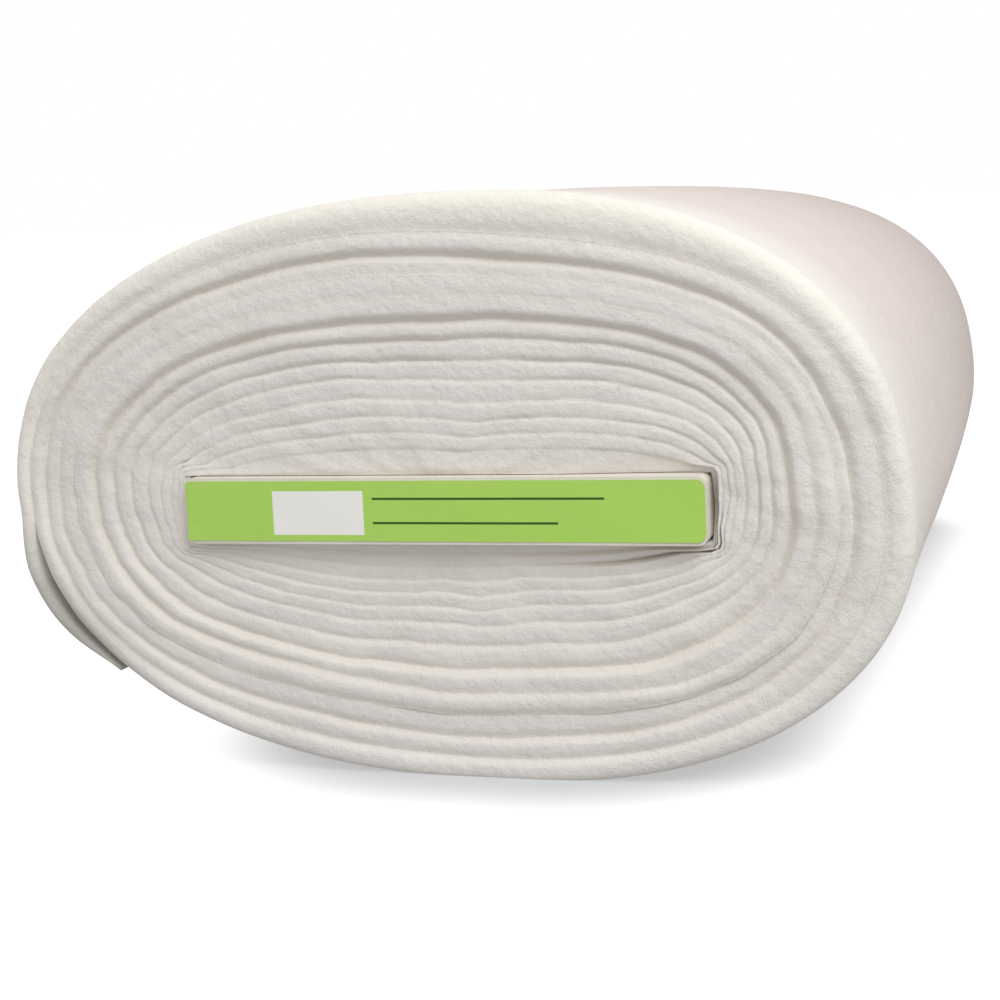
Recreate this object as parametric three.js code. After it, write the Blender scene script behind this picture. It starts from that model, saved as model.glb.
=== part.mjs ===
// Roll of quilt batting: a long sheet of cotton batting, folded in four and wound round a flat
// cardboard board, with a paper label on the board's front end. Millimetres, +Z up.
// The roll lies on its side along Y. Its labelled end faces -Y and the long axis of its oval runs
// along X. The origin is the middle of the bottom of its box.

import * as THREE from 'three';

// Driving dimensions
const BOARD = { width: 203.2, thickness: 25.4, length: 611, corner: 3 };
const LABEL = { width: 202.6, height: 23, thickness: 0.4, corner: 3 };
const CLEARANCE = 0.3;        // between pieces that touch
const ROLL_LENGTH = 610;      // the folded width of the batting, end face to end face
const BOARD_STEP = 1;         // the board's front end stands this far out of the end face
const FLAT_DEPTH = 1.6;       // how far the roll's own weight flattens its underside
const SQUEEZED = 1.3;         // a layer's thickness where it is pulled tight over the board's edges
const STEPS_PER_TURN = 72;
const CORNER_STEPS = 3;       // steps from each end of the board to its corners

// The winding starts on the left end of the board and runs anticlockwise, seen from the label.
// Angles are in degrees from the right-hand side. From liftFrom on, the last turn's end stands off
// the turn under it by lift at most and by tipLift at its tip, and thins towards the tip.
const START = { turn: 0, angle: 165 };
const LOOSE_END = { turn: 13, angle: 225, liftFrom: 187, lift: 4, tipLift: 1, tipThickness: 4 };

// One row a turn: how far the outside of that turn lies from the board on each side, how far its
// edge stands out of the end face, and how deep the crease outside it is.
const TURNS = [
  { right: 0.6, top: 0.6, left: 1.2, bottom: 5.0, proud: -5.5, crease: 2.0 },
  { right: 2.0, top: 10.3, left: 3.0, bottom: 10.0, proud: -5.0, crease: 2.4 },
  { right: 3.6, top: 17.0, left: 5.5, bottom: 15.0, proud: -4.5, crease: 2.4 },
  { right: 5.4, top: 23.4, left: 8.0, bottom: 20.0, proud: -4.5, crease: 2.4 },
  { right: 8.0, top: 30.6, left: 11.5, bottom: 25.5, proud: -4.0, crease: 2.6 },
  { right: 12.0, top: 38.6, left: 16.5, bottom: 31.5, proud: -4.0, crease: 2.6 },
  { right: 17.0, top: 45.4, left: 23.0, bottom: 39.5, proud: -4.0, crease: 2.8 },
  { right: 22.0, top: 52.8, left: 30.0, bottom: 48.5, proud: -3.5, crease: 3.0 },
  { right: 28.5, top: 60.0, left: 37.5, bottom: 57.0, proud: -3.0, crease: 5.0 },
  { right: 38.0, top: 69.6, left: 46.0, bottom: 65.5, proud: 1.0, crease: 0.8 },
  { right: 46.5, top: 77.5, left: 53.5, bottom: 74.0, proud: 1.5, crease: 5.0 },
  { right: 51.0, top: 82.5, left: 60.0, bottom: 82.0, proud: -4.0, crease: 4.0 },
  { right: 62.5, top: 93.0, left: 66.5, bottom: 91.4, proud: -0.5, crease: 5.0 },
  { right: 73.0, top: 105.0, left: 74.0, bottom: 97.0, proud: 0.0, crease: 3.0 },
];

// Fullness of each corner of the winding, as the exponent of a superellipse, first and last turn.
const FULLNESS = {
  upper: { left: { first: 2.35, last: 2.12 }, right: { first: 3.4, last: 2.42 } },
  lower: { left: { first: 2.2, last: 2.06 }, right: { first: 1.95, last: 2.2 } },
};

// In the last turn the oval's middle has drifted this far from the board's, and each millimetre of
// height leans it this far to the right.
const DRIFT = { x: 12, z: 4 };
const LEAN = -0.072;

// The outside along the roll: distance from the front end face, and how far it swells there.
const BODY = [
  { fromFront: 1.2, swell: -1.4 },
  { fromFront: 4, swell: -0.2 },
  { fromFront: 16, swell: 0 },
  { fromFront: 80, swell: -1 },
  { fromFront: 240, swell: 0.6 },
  { fromFront: 380, swell: 0.2 },
  { fromFront: 500, swell: -1.4 },
  { fromFront: 580, swell: -3.4 },
  { fromFront: 602, swell: -5.2 },
  { fromFront: 608, swell: -7 },
];
const BACK_SHIFT = 0.6;       // a turn pushed out at one end is drawn in at the other by this share
const BACK_DRAW = { swell: -5, power: 4 };        // how the outer turns' edges tighten at the back

const MATERIALS = {
  batting: { color: 0xeee9e2, roughness: 1, metalness: 0 },
  board: { color: 0xe8e6dc, roughness: 0.85, metalness: 0 },
  paper: { color: 0xa0cc52, roughness: 0.6, metalness: 0 },
};

const HALF_WIDTH = BOARD.width / 2;
const HALF_THICKNESS = BOARD.thickness / 2;
const LAST = TURNS.length - 1;
const FRONT = -ROLL_LENGTH / 2;
const BACK = ROLL_LENGTH / 2;

// The winding step at a turn and an angle.
function stepAt(turn, angle) {
  return Math.round((turn + angle / 360) * STEPS_PER_TURN);
}

const START_STEP = stepAt(START.turn, START.angle);
const END_STEP = stepAt(LOOSE_END.turn, LOOSE_END.angle);
const LIFT_STEP = stepAt(LOOSE_END.turn, LOOSE_END.liftFrom);

// The value of a column of TURNS at a winding position, in turns, which runs on smoothly.
function along(column, position) {
  const row = Math.min(Math.floor(position), LAST);
  const next = Math.min(row + 1, LAST);
  return THREE.MathUtils.lerp(TURNS[row][column], TURNS[next][column], position - row);
}

// The direction from the board's axis in which a step of the winding lies, as (x, z). The steps
// are spread as on an oval, of such a shape that four of them meet the board's corners.
const CORNER_ANGLE = (CORNER_STEPS / STEPS_PER_TURN) * 2 * Math.PI;
const CORNER_SLOPE = (HALF_THICKNESS + CLEARANCE) / (HALF_WIDTH + CLEARANCE);
const RAY_RATIO = CORNER_SLOPE / Math.tan(CORNER_ANGLE);

function ray(step) {
  const angle = (step / STEPS_PER_TURN) * 2 * Math.PI;
  return new THREE.Vector2(Math.cos(angle), RAY_RATIO * Math.sin(angle)).normalize();
}

// Where the ray of a step leaves the board's outline grown by a margin.
function aroundBoard(step, margin) {
  const aim = ray(step);
  const toSide = (HALF_WIDTH + margin) / Math.abs(aim.x);
  const toFace = (HALF_THICKNESS + margin) / Math.abs(aim.y);
  return aim.multiplyScalar(Math.min(toSide, toFace));
}

// How far a point fills the winding at a position, in turns: 1 on the turn's outside and less
// within. Each quarter is that of a superellipse between the two sides that it joins, and the
// turns are counted from the right-hand side.
function fill(point, position) {
  const growth = Math.min(position / LAST, 1);
  const driftX = DRIFT.x * growth;
  const driftZ = DRIFT.z * growth;
  const up = point.y - driftZ;
  const across = point.x - driftX - LEAN * growth * up;
  const turn = Math.min(Math.floor(position), LAST);
  const rightTurn = Math.min(Math.round(position), LAST);
  const upperTurn = across < 0 ? turn : rightTurn;
  const lowerTurn = across < 0 ? turn : Math.max(rightTurn - 1, 0);
  const reachLeft = HALF_WIDTH + TURNS[turn].left + driftX;
  const reachRight = HALF_WIDTH + TURNS[rightTurn].right - driftX;
  const reachUp = HALF_THICKNESS + TURNS[upperTurn].top - driftZ;
  const reachDown = HALF_THICKNESS + TURNS[lowerTurn].bottom + driftZ;
  const half = up < 0 ? FULLNESS.lower : FULLNESS.upper;
  const corner = across < 0 ? half.left : half.right;
  const exponent = THREE.MathUtils.lerp(corner.first, corner.last, growth);
  const shareX = Math.abs(across) / (across < 0 ? reachLeft : reachRight);
  const shareZ = Math.abs(up) / (up < 0 ? reachDown : reachUp);
  return shareX ** exponent + shareZ ** exponent;
}

// The outside of the winding at a step, as (x, z) from the board's axis, found by halving along
// the step's ray. The first turns are held off the board by the layers squeezed under them: the
// longer of the two reaches counts, with a smooth change between them by a high power.
const HALVINGS = 40;
const HELD_POWER = 24;

function outside(step) {
  const position = step / STEPS_PER_TURN;
  const aim = ray(step);
  let near = 0;
  let far = ROLL_LENGTH;
  for (let i = 0; i < HALVINGS; i += 1) {
    const middle = (near + far) / 2;
    if (fill(aim.clone().multiplyScalar(middle), position) < 1) near = middle;
    else far = middle;
  }
  const layers = position - START_STEP / STEPS_PER_TURN;
  const squeezed = aroundBoard(step, CLEARANCE + SQUEEZED * (1 + layers)).length();
  return aim.multiplyScalar((near ** HELD_POWER + squeezed ** HELD_POWER) ** (1 / HELD_POWER));
}

function grown(point, swell) {
  return point.clone().setLength(point.length() + swell);
}

// The roll's weight flattens its underside, which is where the last whole turn is lowest.
const UNDERSIDE = -(TURNS[LAST - 1].bottom + HALF_THICKNESS - FLAT_DEPTH);

function flattened(point) {
  return new THREE.Vector2(point.x, Math.max(point.y, UNDERSIDE));
}

// How far the loose end stands off the turn under it.
function liftAt(step) {
  const way = (step - LIFT_STEP) / (END_STEP - LIFT_STEP);
  if (way <= 0) return 0;
  return LOOSE_END.lift * Math.sin(Math.PI * way) + LOOSE_END.tipLift * way;
}

// The upper side of the sheet at a step, which is the winding's outside but for the loose end.
function upper(step) {
  if (step < LIFT_STEP) return outside(step);
  const under = outside(step - STEPS_PER_TURN);
  const way = (step - LIFT_STEP) / (END_STEP - LIFT_STEP);
  const full = outside(step).length() - under.length();
  const thickness = THREE.MathUtils.lerp(full, LOOSE_END.tipThickness, way);
  return grown(under, liftAt(step) + thickness);
}

// Its lower side, which lies on the turn before or, in the first turn, on the board.
function lower(step) {
  if (step - STEPS_PER_TURN < START_STEP) return aroundBoard(step, CLEARANCE);
  return grown(outside(step - STEPS_PER_TURN), liftAt(step));
}

// Vertices and triangles of one closed body.
class Body {
  constructor() {
    this.positions = [];
    this.indices = [];
  }

  vertex(point, y) {
    this.positions.push(point.x, y, point.y);
    return this.positions.length / 3 - 1;
  }

  // A strip between two lines of vertices, each named in the same direction.
  strip(one, other) {
    for (let i = 0; i + 1 < one.length; i += 1) {
      this.indices.push(one[i], other[i], other[i + 1]);
      this.indices.push(one[i], other[i + 1], one[i + 1]);
    }
  }

  geometry() {
    const geometry = new THREE.BufferGeometry();
    geometry.setAttribute('position', new THREE.Float32BufferAttribute(this.positions, 3));
    geometry.setIndex(this.indices);
    return geometry;
  }
}

// The value of a function of the step at each step of a stretch of the winding.
function run(from, to, valueAt) {
  return Array.from({ length: to - from + 1 }, (_, i) => valueAt(from + i));
}

// One end face: the sheet's edge is a ridge with a crest along its middle, and a crease lies
// between it and the next turn's ridge. Returns the lines of vertices that its edges follow.
function endFace(body, crestY, into, rim, draw) {
  const rimY = FRONT + rim.fromFront;
  const tunnelY = crestY(START.turn) + into * TURNS[START.turn].crease;
  const covered = START_STEP + STEPS_PER_TURN;
  const drawn = (point, step) => grown(point, draw.swell * (step / END_STEP) ** draw.power);
  const tunnel = new Map();
  const crest = new Map();
  const crease = new Map();
  const gap = new Map();
  for (let step = START_STEP; step < covered; step += 1) {
    tunnel.set(step, body.vertex(aroundBoard(step, CLEARANCE), tunnelY));
  }
  tunnel.set(covered, tunnel.get(START_STEP));
  for (let step = START_STEP; step <= END_STEP; step += 1) {
    const position = step / STEPS_PER_TURN;
    const y = crestY(position);
    const isOutermost = step > END_STEP - STEPS_PER_TURN;
    const edge = isOutermost ? grown(upper(step), rim.swell) : drawn(upper(step), step);
    const edgeY = isOutermost ? rimY : y + into * along('crease', position);
    crest.set(step, body.vertex(drawn(lower(step).lerp(upper(step), 0.5), step), y));
    crease.set(step, body.vertex(flattened(edge), edgeY));
    if (step > LIFT_STEP) gap.set(step, body.vertex(drawn(lower(step), step), rimY));
  }

  const crestAt = (step) => crest.get(step);
  const creaseAt = (step) => crease.get(step);
  const beneath = (step) => gap.get(step) ?? crease.get(step - STEPS_PER_TURN);
  const strips = [
    [run(START_STEP, covered, (step) => tunnel.get(step)), run(START_STEP, covered, crestAt)],
    [run(covered, END_STEP, beneath), run(covered, END_STEP, crestAt)],
    [run(START_STEP, END_STEP, crestAt), run(START_STEP, END_STEP, creaseAt)],
    // The start of the sheet, under the ridge that has come round over it.
    [[crestAt(START_STEP), creaseAt(START_STEP)], [tunnel.get(START_STEP), crestAt(covered)]],
  ];
  for (const [inner, outer] of strips) {
    if (into > 0) body.strip(inner, outer);
    else body.strip(outer, inner);
  }
  return { tunnel, crest, crease, gap };
}

// The winding: its two end faces follow the spiral of crests and creases, and the outside and the
// tunnel for the board join them.
function buildRoll() {
  const body = new Body();
  const frontCrest = (position) => FRONT - along('proud', position);
  const backCrest = (position) => BACK - BACK_SHIFT * along('proud', position);
  const front = endFace(body, frontCrest, 1, BODY[0], { swell: 0, power: 1 });
  const back = endFace(body, backCrest, -1, BODY[BODY.length - 1], BACK_DRAW);

  // The section's outline, anticlockwise from under the loose end round to it, about its tip and
  // back along the gap. Each stop names its vertex on an end face and its point in between.
  const tipFoot = END_STEP - STEPS_PER_TURN;
  const tipMiddle = lower(END_STEP).lerp(upper(END_STEP), 0.5);
  const outline = [
    { vertex: ({ crease }) => crease.get(tipFoot), point: upper(tipFoot), swells: false },
    ...run(tipFoot + 1, END_STEP, (step) => (
      { vertex: ({ crease }) => crease.get(step), point: upper(step), swells: true })),
    { vertex: ({ crest }) => crest.get(END_STEP), point: tipMiddle, swells: false },
    ...run(LIFT_STEP + 1, END_STEP, (step) => (
      { vertex: ({ gap }) => gap.get(step), point: lower(step), swells: false })).reverse(),
    ...run(LIFT_STEP - STEPS_PER_TURN, tipFoot - 1, (step) => (
      { vertex: ({ crease }) => crease.get(step), point: upper(step), swells: false })),
  ];
  const closed = (line) => [...line, line[0]];
  const rings = [
    outline.map(({ vertex }) => vertex(front)),
    ...BODY.slice(1, -1).map(({ fromFront, swell }) => outline.map(({ point, swells }) => (
      body.vertex(flattened(grown(point, swells ? swell : 0)), FRONT + fromFront)))),
    outline.map(({ vertex }) => vertex(back)),
  ];
  for (let i = 0; i + 1 < rings.length; i += 1) body.strip(closed(rings[i]), closed(rings[i + 1]));
  body.strip([...back.tunnel.values()], [...front.tunnel.values()]);
  return body.geometry();
}

// A plate with round corners in the XZ plane, from y and on for its depth.
const CORNER_SEGMENTS = 4;

function roundedPlate({ width, height, corner, y, depth }) {
  const x = width / 2 - corner;
  const z = height / 2 - corner;
  const shape = new THREE.Shape();
  shape.absarc(x, z, corner, 0, Math.PI / 2);
  shape.absarc(-x, z, corner, Math.PI / 2, Math.PI);
  shape.absarc(-x, -z, corner, Math.PI, Math.PI * 1.5);
  shape.absarc(x, -z, corner, Math.PI * 1.5, Math.PI * 2);
  shape.closePath();
  const settings = { depth, bevelEnabled: false, curveSegments: CORNER_SEGMENTS };
  const geometry = new THREE.ExtrudeGeometry(shape, settings);
  geometry.rotateX(Math.PI / 2);
  return geometry.translate(0, y + depth, 0);
}

const BOARD_FRONT = FRONT - BOARD_STEP;
const LABEL_FRONT = BOARD_FRONT - CLEARANCE - LABEL.thickness;
const board = { ...BOARD, height: BOARD.thickness, y: BOARD_FRONT, depth: BOARD.length };
const label = { ...LABEL, y: LABEL_FRONT, depth: LABEL.thickness };
const PIECES = [
  { name: 'batting_roll', material: MATERIALS.batting, geometry: buildRoll() },
  { name: 'core_board', material: MATERIALS.board, geometry: roundedPlate(board) },
  { name: 'end_label', material: MATERIALS.paper, geometry: roundedPlate(label) },
];

// Built round the board's axis, then stood with the middle of the box's bottom on the origin.
const group = new THREE.Group();
for (const { name, material, geometry } of PIECES) {
  const mesh = new THREE.Mesh(geometry, new THREE.MeshStandardMaterial(material));
  mesh.name = name;
  group.add(mesh);
}
const box = new THREE.Box3().setFromObject(group);
const centre = box.getCenter(new THREE.Vector3());
for (const mesh of group.children) mesh.position.set(-centre.x, -centre.y, -box.min.z);

export default group;
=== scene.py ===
# %% [markdown]
# # A roll of quilt batting
# Cotton batting is a thick, soft felt of fibres, needled through a thin scrim. The sheet is folded
# in four and wound flat round a cardboard board, so the end of the roll shows its folded edge as a
# spiral of soft ridges. This script dresses the CAD frame: the wound sheet is worked out turn by
# turn, the board and its paper label get their finishes, and a soft studio light shows them.

# %% Load the frame
import math

import bpy
import numpy as np
from mathutils import Matrix, Vector


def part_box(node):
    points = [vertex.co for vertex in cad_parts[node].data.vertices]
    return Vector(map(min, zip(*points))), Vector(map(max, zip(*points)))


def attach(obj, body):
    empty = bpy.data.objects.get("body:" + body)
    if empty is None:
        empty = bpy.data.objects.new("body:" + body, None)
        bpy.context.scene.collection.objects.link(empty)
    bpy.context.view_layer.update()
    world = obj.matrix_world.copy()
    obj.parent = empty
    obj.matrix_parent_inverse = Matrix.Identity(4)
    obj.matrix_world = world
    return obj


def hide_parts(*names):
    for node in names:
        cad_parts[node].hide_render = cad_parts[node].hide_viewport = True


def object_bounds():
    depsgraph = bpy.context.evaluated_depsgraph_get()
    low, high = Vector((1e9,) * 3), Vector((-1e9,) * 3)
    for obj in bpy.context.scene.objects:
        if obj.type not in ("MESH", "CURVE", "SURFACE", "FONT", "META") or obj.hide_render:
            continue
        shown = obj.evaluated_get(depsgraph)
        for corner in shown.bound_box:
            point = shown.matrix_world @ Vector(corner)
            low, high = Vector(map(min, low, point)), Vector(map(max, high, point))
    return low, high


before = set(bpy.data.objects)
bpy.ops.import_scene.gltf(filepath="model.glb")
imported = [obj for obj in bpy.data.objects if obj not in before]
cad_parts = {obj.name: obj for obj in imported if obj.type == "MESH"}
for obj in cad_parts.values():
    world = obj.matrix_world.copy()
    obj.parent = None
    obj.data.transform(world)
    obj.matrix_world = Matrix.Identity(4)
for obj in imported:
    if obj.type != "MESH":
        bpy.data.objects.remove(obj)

MM = 0.001
cad_low, cad_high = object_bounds()
print("CAD box, m:", tuple(round(v, 4) for v in cad_high - cad_low))

# %% [markdown]
# ## Where things are
# The CAD nodes give every place: the middle of the board is the axis of the winding, and its front
# face stands a millimetre out of the folded edge of the batting. Below, x and z are measured in
# millimetres from the board's axis and y from the middle of the roll, and `to_frame` turns them
# into the frame's metres at the very end.

# %% The board's axis
board_low, board_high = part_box("core_board")
AXIS = np.array([(board_low.x + board_high.x) / 2, 0.0, (board_low.z + board_high.z) / 2])
HALF_WIDTH = (board_high.x - board_low.x) / 2 / MM
HALF_THICKNESS = (board_high.z - board_low.z) / 2 / MM
BOARD_STEP = 1.0
ROLL_LENGTH = 610.0
FRONT = board_low.y / MM + BOARD_STEP
BACK = FRONT + ROLL_LENGTH
FLOOR = -AXIS[2] / MM


def to_frame(points):
    """Millimetres about the board's axis to metres in the frame: scale, then add the axis."""
    return points * MM + AXIS


print("board, mm:", round(2 * HALF_WIDTH, 1), "by", round(2 * HALF_THICKNESS, 1))
print("front folded edge at y =", round(FRONT, 1), "mm, floor at z =", round(FLOOR, 1), "mm")

# %% [markdown]
# ## The winding, turn by turn
# An even spiral would be one formula, but batting is soft and the board is flat, so each turn is an
# oval of its own. The table holds what was read off the end of the roll: how far the outside of
# each turn lies from the board on its four sides, and how far its folded edge stands out. The
# creases between the turns are deep in one place and nearly gone in another, so their depth has a
# finer table, by position in turns. Everything between the rows is worked out.

# %% The turns
START = 165 / 360
LOOSE_END = 13 + 225 / 360
LIFT_FROM = 13 + 182 / 360
COLUMNS = ("right", "top", "left", "bottom", "proud")
TURNS = np.array([
    (0.6, 0.6, 1.2, 5.0, -5.5),
    (2.0, 10.3, 3.0, 10.0, -5.0),
    (3.6, 17.0, 5.5, 15.0, -4.5),
    (5.4, 23.4, 8.0, 20.0, -4.5),
    (8.0, 30.6, 12.0, 25.5, -4.0),
    (12.0, 38.6, 17.5, 31.5, -4.0),
    (17.0, 45.4, 24.5, 39.5, -4.0),
    (22.0, 52.8, 32.0, 48.5, -3.5),
    (28.5, 60.0, 39.5, 57.0, -3.0),
    (38.0, 69.6, 48.0, 65.5, -0.8),
    (46.5, 77.5, 55.5, 74.0, -0.4),
    (51.0, 84.5, 62.0, 82.0, -2.4),
    (62.5, 93.0, 68.0, 91.4, -0.8),
    (73.0, 105.0, 74.0, 97.0, 0.0),
])
RIGHT, TOP, LEFT, BOTTOM, PROUD = range(len(COLUMNS))
LAST = len(TURNS) - 1
CREASES = np.array([
    # position in turns, depth
    (0.25, 2.0),
    (4.0, 2.4),
    (7.25, 2.8),
    (8.25, 4.4),
    (8.6, 4.4),
    (8.8, 1.2),
    (9.0, 2.2),
    (9.2, 0.4),
    (9.5, 2.2),
    (9.75, 4.2),
    (10.0, 4.0),
    (10.2, 0.5),
    (10.5, 2.6),
    (10.75, 3.4),
    (11.0, 3.0),
    (11.25, 4.4),
    (11.5, 3.2),
    (11.8, 2.4),
    (12.0, 3.2),
    (12.25, 3.0),
    (12.5, 3.6),
    (12.75, 3.8),
])


def along(column, position):
    """A column's value at a winding position in turns: straight between the rows, held outside."""
    return np.interp(position, np.arange(len(TURNS)), TURNS[:, column])


print("turns in the table:", len(TURNS), "from", round(START, 2), "to", round(LOOSE_END, 2))

# %% [markdown]
# Each quarter of a turn is a superellipse between the two sides that it joins. Its exponent is the
# fullness of that corner: 2 is an ellipse, and more than 2 is squarer. The early turns are squarer
# on the right, where the sheet was pulled round the board, and the oval's middle drifts to the
# right and leans as the roll grows. The reach along each ray is found by halving an interval, on
# all positions at once.

# %% The oval of each turn
FULLNESS = {
    "upper left": (2.35, 2.12),
    "upper right": (3.4, 2.42),
    "lower left": (2.25, 2.26),
    "lower right": (3.0, 2.2),
}
DRIFT_X, DRIFT_Z = 12.0, 4.0
LEAN = -0.072
CLEARANCE = 0.3
SQUEEZED = 1.3
BLEND = 0.35
HALVINGS = 36
CORNER_ANGLE = math.radians(15)
RAY_RATIO = (HALF_THICKNESS + CLEARANCE) / (HALF_WIDTH + CLEARANCE) / math.tan(CORNER_ANGLE)


def ray(position):
    """Unit direction (x, z) of a position: cosine and flattened sine of its angle, normalised."""
    angle = 2 * np.pi * position
    aim = np.stack([np.cos(angle), RAY_RATIO * np.sin(angle)], axis=-1)
    return aim / np.linalg.norm(aim, axis=-1, keepdims=True)


def around_board(position, margin):
    """Reach of a ray to the board's outline grown by a margin: the nearer of side and face, and
    within the corner the far crossing with a circle of that margin about the board's corner."""
    aim = np.maximum(np.abs(ray(position)), 1e-9)
    square = np.minimum((HALF_WIDTH + margin) / aim[..., 0], (HALF_THICKNESS + margin) / aim[..., 1])
    in_corner = (square * aim[..., 0] > HALF_WIDTH) & (square * aim[..., 1] > HALF_THICKNESS)
    nearest = aim[..., 0] * HALF_WIDTH + aim[..., 1] * HALF_THICKNESS
    under_root = nearest ** 2 - HALF_WIDTH ** 2 - HALF_THICKNESS ** 2 + margin ** 2
    return np.where(in_corner, nearest + np.sqrt(np.maximum(under_root, 0)), square)


def fill(x, z, position):
    """1 on the turn's outside, less within: each share of the reach to its own power, summed."""
    growth = np.minimum(position / LAST, 1)
    drift_x, drift_z = DRIFT_X * growth, DRIFT_Z * growth
    up = z - drift_z
    across = x - drift_x - LEAN * growth * up
    turn = np.clip(np.floor(position).astype(int), 0, LAST)
    right_turn = np.clip(np.round(position).astype(int), 0, LAST)
    upper_turn = np.where(across < 0, turn, right_turn)
    lower_turn = np.where(across < 0, turn, np.maximum(right_turn - 1, 0))
    left_reach = HALF_WIDTH + TURNS[turn, LEFT] + drift_x
    right_reach = HALF_WIDTH + TURNS[right_turn, RIGHT] - drift_x
    up_reach = HALF_THICKNESS + TURNS[upper_turn, TOP] - drift_z
    down_reach = HALF_THICKNESS + TURNS[lower_turn, BOTTOM] + drift_z
    power = {name: first + (last - first) * growth for name, (first, last) in FULLNESS.items()}
    left_power = np.where(up < 0, power["lower left"], power["upper left"])
    right_power = np.where(up < 0, power["lower right"], power["upper right"])
    exponent = np.where(across < 0, left_power, right_power)
    share_x = np.abs(across) / np.where(across < 0, left_reach, right_reach)
    share_z = np.abs(up) / np.where(up < 0, down_reach, up_reach)
    return share_x ** exponent + share_z ** exponent


def free_reach(position):
    """Reach of each ray to the oval, by halving the interval that holds fill = 1."""
    aim = ray(position)
    near = np.zeros_like(position)
    far = np.full_like(position, ROLL_LENGTH)
    for _ in range(HALVINGS):
        middle = (near + far) / 2
        inside = fill(aim[..., 0] * middle, aim[..., 1] * middle, position) < 1
        near = np.where(inside, middle, near)
        far = np.where(inside, far, middle)
    return near


print("reach to the right in turn 5, mm:", np.round(free_reach(np.array([5.0])), 1))

# %% [markdown]
# Nobody winds batting perfectly. Four things make the turns wander: a slow sway that neighbouring
# turns share, because they press on each other; swells and hollows where the winding was slack or
# pulled; a sag at the upper right, which deepens outwards until the last turn bridges it; and short
# slack waves under the board. They are all added to the reach.

# %% How the turns wander
SWAY = (
    # waves a turn, depth in mm, phase, how much of a wave the pattern creeps on with each turn
    (2, 0.5, 0.4, 0.03),
    (3, 0.5, 2.1, -0.05),
    (5, 0.4, 4.0, 0.06),
    (8, 0.35, 1.2, -0.09),
    (13, 0.3, 5.1, 0.07),
    (21, 0.2, 3.3, -0.12),
    (34, 0.14, 0.8, 0.17),
    (52, 0.12, 2.7, -0.21),
)
CALM_TURNS, CALM_SHARE, FEW_WAVES = (10.5, 12.6), 0.4, 6
TIGHT_TURNS, TIGHT_SHARE = 3, 0.15
SWELLS = (
    # mm outwards, middle and width in x, middle and width in turns, above (1) or below (-1) the
    # board, and the two heights between which it sets in
    (-2.4, 28, 32, 5.0, 3.0, 1, 4, 22),
    (2.6, -85, 22, 5.0, 3.0, 1, 4, 22),
    (3.0, 98, 24, 8.7, 0.6, -1, 5, 50),
    (-2.6, -60, 25, 8.7, 0.6, -1, 5, 50),
)
SAG, SAG_ACROSS, SAG_HEIGHTS = 6.3, (70, 50), (5, 70)
SAG_SHARE = np.array([
    # position in turns, share of the sag
    (7.5, 0.1),
    (9.0, 0.5),
    (10.0, 0.9),
    (11.0, 1.0),
    (12.4, 0.85),
    (12.8, 0.0),
])
SLACK, SLACK_WAVE, SLACK_FROM = 1.5, 62, 6
SLACK_ACROSS, SLACK_TURNS, SLACK_HEIGHTS = (35, 38), (4.6, 1.7), (4, 22)


def bell(value, middle, width):
    """Gaussian bell: 1 in the middle and 0.6 at one width from it."""
    return np.exp(-0.5 * ((value - middle) / width) ** 2)


def ramp(value, first, last):
    """Smooth rise from 0 at the first value to 1 at the last one: 3 t squared less 2 t cubed."""
    way = np.clip((value - first) / (last - first), 0, 1)
    return way * way * (3 - 2 * way)


def wander(x, z, position):
    """Sum of sines of the position, which calm down in the last turns, plus the swells, each a
    bell across and a bell in turns, plus the sag and the slack waves."""
    total = np.zeros_like(position)
    for waves, depth, phase, creep in SWAY:
        calm = 1 - ramp(position, *CALM_TURNS) * (1 if waves > FEW_WAVES else CALM_SHARE)
        total += depth * np.sin(2 * np.pi * (waves + creep) * position + phase) * calm
    total *= np.clip(position / TIGHT_TURNS, TIGHT_SHARE, 1)
    for height, x_middle, x_width, turn, turn_width, side, first_z, last_z in SWELLS:
        swell_here = height * bell(x, x_middle, x_width) * bell(position, turn, turn_width)
        total += swell_here * ramp(side * z, first_z, last_z)
    share = np.interp(position, SAG_SHARE[:, 0], SAG_SHARE[:, 1])
    total -= SAG * bell(x, *SAG_ACROSS) * share * ramp(z, *SAG_HEIGHTS)
    slack = SLACK * np.sin(2 * np.pi * (x + SLACK_FROM) / SLACK_WAVE) * bell(x, *SLACK_ACROSS)
    total += slack * bell(position, *SLACK_TURNS) * ramp(-z, *SLACK_HEIGHTS)
    return total


def outside(position):
    """Outside of the winding as (x, z): the longer of the free and the squeezed reach, plus
    wander. Their mean plus the root of half their difference squared and a small square makes the
    change from one to the other smooth."""
    aim = ray(position)
    free = free_reach(position)
    squeezed = around_board(position, CLEARANCE + SQUEEZED * (1 + position - START))
    blend = BLEND * np.minimum(position, 6)
    held = (free + squeezed) / 2 + np.sqrt(((free - squeezed) / 2) ** 2 + blend ** 2)
    reach = held + wander(aim[..., 0] * held, aim[..., 1] * held, position)
    return aim * np.maximum(reach, squeezed)[..., None]


probe = outside(np.linspace(LAST - 1, LAST, 400))
print("last whole turn, mm:", np.round(np.ptp(probe, axis=0), 1))

# %% [markdown]
# ## The wound sheet
# The upper side of the sheet is the outside of its turn, and its lower side lies on the turn
# before. At the very end the sheet comes off the roll and hangs loose over the side, so it stands
# off the turn under it and thins towards its tip, where the folded plies are pinched.

# %% Upper and lower side
LIFT, TIP_LIFT, TIP_THICKNESS, TIP_PINCH = 3.9, 2.6, 5.0, 3.4
HAIRLINE = 0.02


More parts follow.
